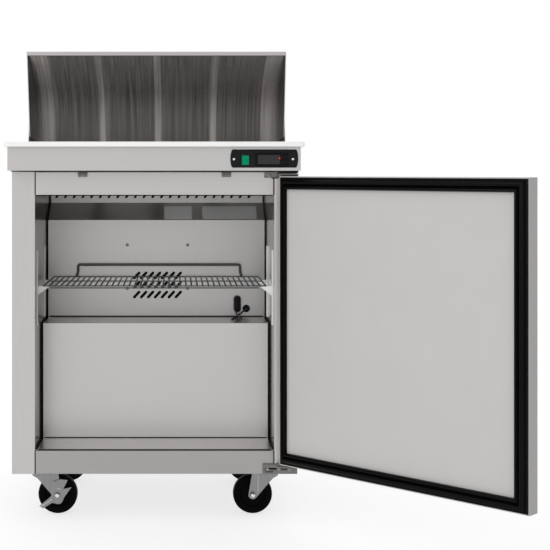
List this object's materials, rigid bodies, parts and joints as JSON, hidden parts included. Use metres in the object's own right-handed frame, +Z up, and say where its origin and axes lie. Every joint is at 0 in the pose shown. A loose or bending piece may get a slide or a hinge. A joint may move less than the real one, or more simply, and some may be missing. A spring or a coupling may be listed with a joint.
{
  "type": "undercounter refrigerator",
  "caption": "Refrigerated prep table on casters: one hinged door over a shelved cold cabinet, cutting board and roll-over hood above lift-out pans.",
  "frame": {"origin": "bottom centre of the whole box at rest (door and hood open), on the floor the wheels stand on", "axes": "+Z up, the cabinet's front and door face -Y, +X to the hinge side of the door"},
  "size_m": [1.1738, 1.166, 1.1971],
  "materials": {
    "stainless": "satin, vertically brushed",
    "inner_sheet": "bright, lightly brushed",
    "foam": "rigid polyurethane foam",
    "galvanised": "zinc coated sheet",
    "board_white": "fine-textured polyethylene",
    "bezel_grey": "fine-textured dark grey",
    "controller_black": "gloss black",
    "switch_green": "translucent green",
    "black_plastic": "moulded",
    "door_liner": "smooth light grey",
    "gasket_black": "glossy extruded vinyl",
    "shelf_wire": "coated welded wire",
    "pilaster": "bright strip",
    "coil_fins": "bare fins",
    "compressor_black": "semi-gloss black",
    "zinc": "zinc plated",
    "wheel_black": "hard rubber",
    "pan_steel": "satin"
  },
  "bodies": {
    "cabinet": {"back_panel": "stainless", "base_plate": "galvanised", "caster_plate_front_left": "zinc", "caster_plate_front_right": "zinc", "caster_plate_rear_left": "zinc", "caster_plate_rear_right": "zinc", "compressor": "compressor_black", "condenser_coil": "compressor_black", "control_bezel": "bezel_grey", "evaporator_coil": "coil_fins", "evaporator_cover": "inner_sheet", "floor_insulation": "foam", "floor_liner": "inner_sheet", "front_header": "stainless", "front_sill": "stainless", "hinge_bracket_bottom": "stainless", "hinge_bracket_top": "stainless", "insulation_left": "foam", "insulation_right": "foam", "liner_left": "inner_sheet", "liner_right": "inner_sheet", "pan_divider": "stainless", "rear_grille": "galvanised", "rear_hood": "stainless", "shelf_pilaster_front_left": "pilaster", "shelf_pilaster_front_right": "pilaster", "shelf_pilaster_rear_left": "pilaster", "shelf_pilaster_rear_right": "pilaster", "side_panel_left": "stainless", "side_panel_right": "stainless", "temperature_controller": "controller_black", "worktop": "stainless"},
    "door": {"door_outer_skin": "stainless", "door_insulation": "foam", "door_inner_panel": "door_liner", "door_gasket": "gasket_black", "door_handle": "black_plastic"},
    "lid": {"hood_lid": "stainless"},
    "board": {"cutting_board": "board_white"},
    "switch": {"power_switch": "switch_green"},
    "shelf": {"wire_shelf": "shelf_wire"},
    "evaporator_fan": {"evaporator_fan": "black_plastic"},
    "condenser_fan": {"condenser_fan": "black_plastic"},
    "swivel_front_left": {"caster_fork_front_left": "zinc"},
    "wheel_front_left": {"caster_wheel_front_left": "wheel_black"},
    "swivel_front_right": {"caster_fork_front_right": "zinc"},
    "wheel_front_right": {"caster_wheel_front_right": "wheel_black"},
    "swivel_rear_left": {"caster_fork_rear_left": "zinc"},
    "wheel_rear_left": {"caster_wheel_rear_left": "wheel_black"},
    "swivel_rear_right": {"caster_fork_rear_right": "zinc"},
    "wheel_rear_right": {"caster_wheel_rear_right": "wheel_black"},
    "brake": {"brake_lever": "zinc"},
    "food_pan_1": {"food_pan_1": "pan_steel"},
    "food_pan_2": {"food_pan_2": "pan_steel"},
    "food_pan_3": {"food_pan_3": "pan_steel"},
    "food_pan_4": {"food_pan_4": "pan_steel"},
    "food_pan_5": {"food_pan_5": "pan_steel"},
    "food_pan_6": {"food_pan_6": "pan_steel"},
    "food_pan_7": {"food_pan_7": "pan_steel"},
    "food_pan_8": {"food_pan_8": "pan_steel"}
  },
  "joints": [
    {"name": "door_hinge", "type": "hinge", "parent": "cabinet", "child": "door", "pos_m": [0.10814, -0.09201, 0.5075], "axis": [0, 0, 1], "range_deg": [-135, 0]},
    {"name": "lid_pivot", "type": "hinge", "parent": "cabinet", "child": "lid", "pos_m": [-0.22336, 0.39199, 1.004], "axis": [-1, 0, 0], "range_deg": [-72.5, 0]},
    {"name": "board_lift", "type": "slide", "parent": "cabinet", "child": "board", "axis": [0, 0, 1], "range_m": [0, 0.05]},
    {"name": "shelf_slide", "type": "slide", "parent": "cabinet", "child": "shelf", "axis": [0, -1, 0], "range_m": [0, 0.25]},
    {"name": "power_rocker", "type": "hinge", "parent": "cabinet", "child": "switch", "pos_m": [-0.00266, -0.12101, 0.9014], "axis": [-1, 0, 0], "range_deg": [0, 14]},
    {"name": "evaporator_fan_spin", "type": "hinge", "parent": "cabinet", "child": "evaporator_fan", "pos_m": [-0.22036, 0.27599, 0.5655], "axis": [0, 1, 0], "continuous": true},
    {"name": "condenser_fan_spin", "type": "hinge", "parent": "cabinet", "child": "condenser_fan", "pos_m": [-0.12336, 0.46799, 0.2673], "axis": [0, 1, 0], "continuous": true},
    {"name": "swivel_front_left", "type": "hinge", "parent": "cabinet", "child": "swivel_front_left", "pos_m": [-0.50536, 0.05899, 0.11], "axis": [0, 0, 1], "continuous": true},
    {"name": "wheel_roll_front_left", "type": "hinge", "parent": "swivel_front_left", "child": "wheel_front_left", "pos_m": [-0.47186, 0.05899, 0.05], "axis": [0, 1, 0], "continuous": true},
    {"name": "swivel_front_right", "type": "hinge", "parent": "cabinet", "child": "swivel_front_right", "pos_m": [0.05864, 0.05899, 0.11], "axis": [0, 0, 1], "continuous": true},
    {"name": "wheel_roll_front_right", "type": "hinge", "parent": "swivel_front_right", "child": "wheel_front_right", "pos_m": [0.02514, 0.05899, 0.05], "axis": [0, 1, 0], "continuous": true},
    {"name": "swivel_rear_left", "type": "hinge", "parent": "cabinet", "child": "swivel_rear_left", "pos_m": [-0.50536, 0.41299, 0.11], "axis": [0, 0, 1], "continuous": true},
    {"name": "wheel_roll_rear_left", "type": "hinge", "parent": "swivel_rear_left", "child": "wheel_rear_left", "pos_m": [-0.47186, 0.41299, 0.05], "axis": [0, 1, 0], "continuous": true},
    {"name": "swivel_rear_right", "type": "hinge", "parent": "cabinet", "child": "swivel_rear_right", "pos_m": [0.05864, 0.41299, 0.11], "axis": [0, 0, 1], "continuous": true},
    {"name": "wheel_roll_rear_right", "type": "hinge", "parent": "swivel_rear_right", "child": "wheel_rear_right", "pos_m": [0.02514, 0.41299, 0.05], "axis": [0, 1, 0], "continuous": true},
    {"name": "brake_pedal", "type": "hinge", "parent": "swivel_front_left", "child": "brake", "pos_m": [-0.47186, 0.03399, 0.05], "axis": [0, -1, 0], "range_deg": [0, 20]},
    {"name": "food_pan_1_lift", "type": "slide", "parent": "cabinet", "child": "food_pan_1", "axis": [0, 0, 1], "range_m": [0, 0.1]},
    {"name": "food_pan_2_lift", "type": "slide", "parent": "cabinet", "child": "food_pan_2", "axis": [0, 0, 1], "range_m": [0, 0.1]},
    {"name": "food_pan_3_lift", "type": "slide", "parent": "cabinet", "child": "food_pan_3", "axis": [0, 0, 1], "range_m": [0, 0.1]},
    {"name": "food_pan_4_lift", "type": "slide", "parent": "cabinet", "child": "food_pan_4", "axis": [0, 0, 1], "range_m": [0, 0.1]},
    {"name": "food_pan_5_lift", "type": "slide", "parent": "cabinet", "child": "food_pan_5", "axis": [0, 0, 1], "range_m": [0, 0.045]},
    {"name": "food_pan_6_lift", "type": "slide", "parent": "cabinet", "child": "food_pan_6", "axis": [0, 0, 1], "range_m": [0, 0.045]},
    {"name": "food_pan_7_lift", "type": "slide", "parent": "cabinet", "child": "food_pan_7", "axis": [0, 0, 1], "range_m": [0, 0.045]},
    {"name": "food_pan_8_lift", "type": "slide", "parent": "cabinet", "child": "food_pan_8", "axis": [0, 0, 1], "range_m": [0, 0.045]}
  ]
}
